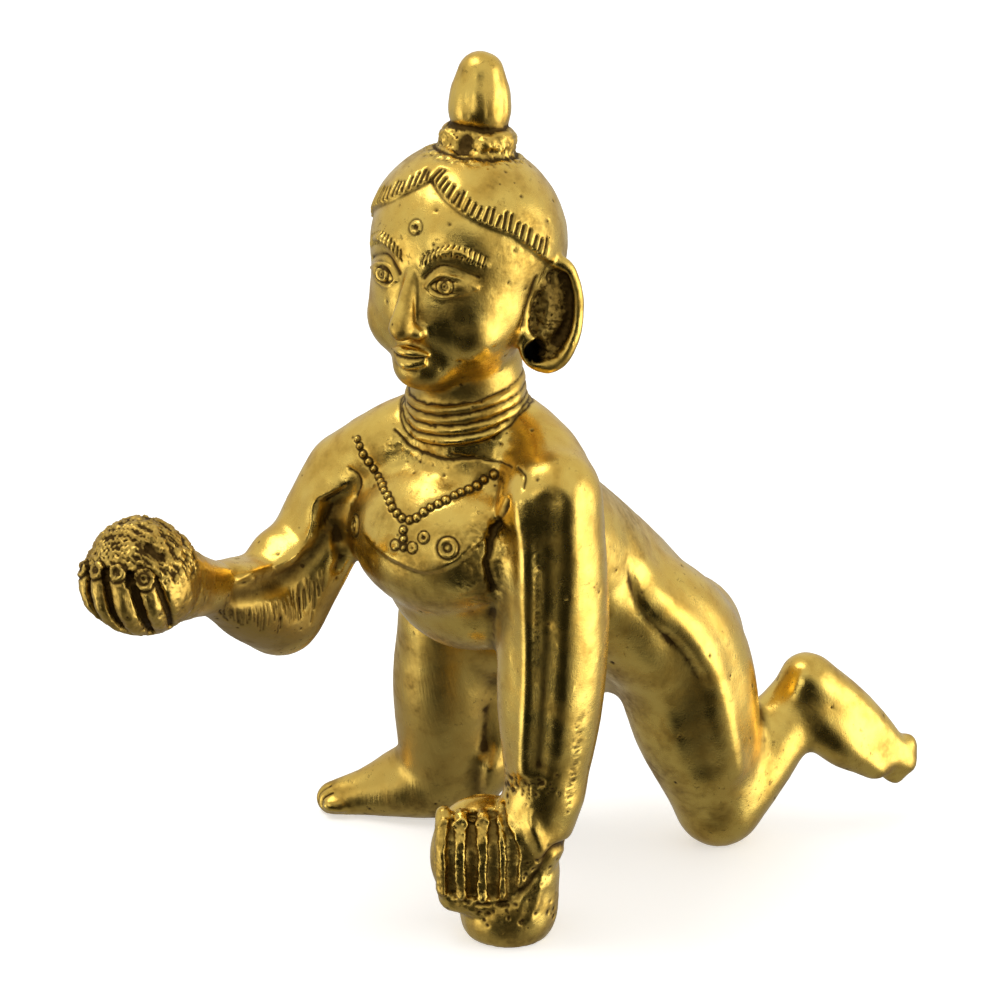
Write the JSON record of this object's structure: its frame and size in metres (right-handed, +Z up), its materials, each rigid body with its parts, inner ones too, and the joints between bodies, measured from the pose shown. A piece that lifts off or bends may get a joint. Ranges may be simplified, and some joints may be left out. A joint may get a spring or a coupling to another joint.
{
  "type": "crawling child figure",
  "caption": "Small solid-cast brass figure of a crawling child with a topknot, resting on one fist, a knee and a foot, and holding out a round sweet.",
  "frame": {"origin": "centre of the bounding box in plan, on the surface that the figure rests on", "axes": "the chest faces -Y, the figure's left side is at +X, +Z is up"},
  "size_m": [0.0432, 0.079, 0.0797],
  "materials": {
    "brass": "polished, with dark patina in the recesses"
  },
  "bodies": {
    "root": {"idol": "brass"}
  },
  "joints": []
}
